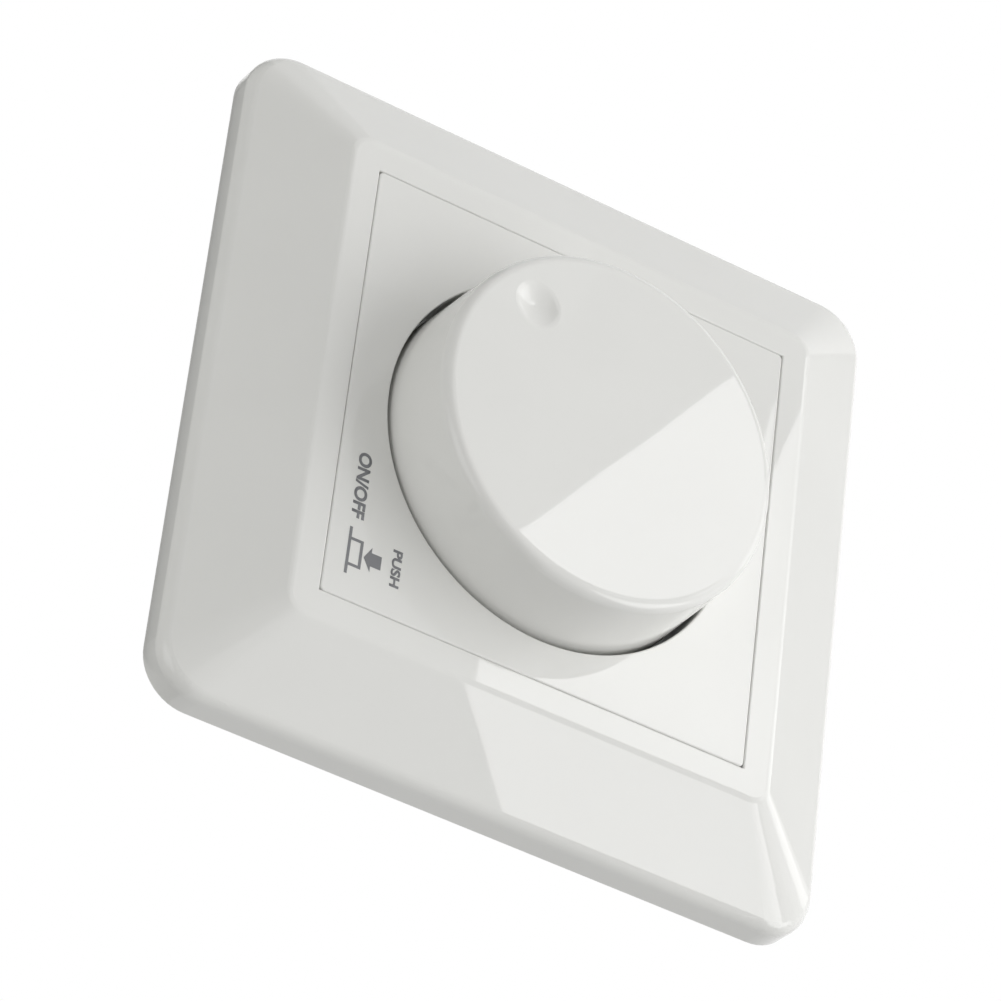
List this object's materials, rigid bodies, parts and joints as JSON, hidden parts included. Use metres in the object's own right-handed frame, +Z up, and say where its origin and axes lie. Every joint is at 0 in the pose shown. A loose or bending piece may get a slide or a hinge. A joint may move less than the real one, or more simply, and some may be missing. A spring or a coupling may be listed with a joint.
{
  "type": "rotary dimmer switch",
  "caption": "Flush-mounted rotary dimmer: square cover frame with sloping sides, square centre plate with a round well, turn-and-push knob, and the insert that fits a wall box.",
  "frame": {"origin": "on the knob's axis in the plane of the wall, at the centre of the box screw holes", "axes": "+Z up, +Y into the wall along the knob's axis, so the front faces -Y; +X to the right as seen from the front"},
  "size_m": [0.0848, 0.0424, 0.0848],
  "materials": {
    "frame_plastic": "gloss moulded",
    "plate_plastic": "gloss moulded",
    "knob_plastic": "gloss moulded",
    "spring_steel": "bright spring steel",
    "brass": "turned",
    "nickelled_steel": "nickel plated",
    "zinced_steel": "zinc plated, pressed",
    "housing_plastic": "moulded, fine texture",
    "board_laminate": "paper laminate",
    "phenolic_board": "punched laminate",
    "carbon_ink": "printed",
    "tinned_brass": "tinned",
    "nylon": "moulded",
    "iron_powder": "coated core",
    "enamelled_copper": "enamelled wire",
    "epoxy": "moulded",
    "silicone": "soft sheet",
    "capacitor_case": "moulded",
    "glass_diode": "glass bead",
    "resistor_lacquer": "lacquered",
    "glass_tube": "clear",
    "block_plastic": "moulded"
  },
  "bodies": {
    "insert": {"cover_frame": "frame_plastic", "centre_plate": "plate_plastic", "fixing_nut": "nickelled_steel", "lock_washer": "nickelled_steel", "support_plate": "zinced_steel", "housing": "housing_plastic", "housing_screws": "nickelled_steel", "circuit_board": "board_laminate", "pot_bush": "brass", "pot_can": "nickelled_steel", "pot_wafer": "phenolic_board", "resistive_track": "carbon_ink", "pot_terminals": "tinned_brass", "switch_case": "nylon", "fixed_contacts": "tinned_brass", "return_spring": "spring_steel", "choke_core": "iron_powder", "choke_winding": "enamelled_copper", "triac": "epoxy", "insulating_pad": "silicone", "triac_screw": "nickelled_steel", "interference_capacitor": "capacitor_case", "timing_capacitor": "epoxy", "diac": "glass_diode", "resistors": "resistor_lacquer", "fuse_tube": "glass_tube", "fuse_caps": "tinned_brass", "fuse_clips": "tinned_brass", "terminal_block": "block_plastic", "terminal_cages": "nickelled_steel", "terminal_screws": "nickelled_steel"},
    "push_rod": {"switch_plunger": "nylon", "contact_bridge": "tinned_brass"},
    "knob_shaft": {"knob": "knob_plastic", "knob_clip": "spring_steel", "shaft": "brass", "shaft_clip": "spring_steel"},
    "wiper": {"wiper_rotor": "nylon", "wiper_contact": "spring_steel"}
  },
  "joints": [
    {"name": "push_travel", "type": "slide", "parent": "insert", "child": "push_rod", "axis": [0, 1, 0], "range_m": [0, 0.0018], "stiffness_N_per_m": 1500, "springref_m": -0.002, "deforming": ["return_spring"]},
    {"name": "knob_turn", "type": "hinge", "parent": "push_rod", "child": "knob_shaft", "pos_m": [0, 0, 0], "axis": [0, 1, 0], "range_deg": [0, 260]},
    {"name": "wiper_turn", "type": "hinge", "parent": "insert", "child": "wiper", "pos_m": [0, 0, 0], "axis": [0, 1, 0], "range_deg": [0, 260]}
  ],
  "couplings": [
    {"joint": "wiper_turn", "follows": "knob_turn", "ratio": 1}
  ]
}
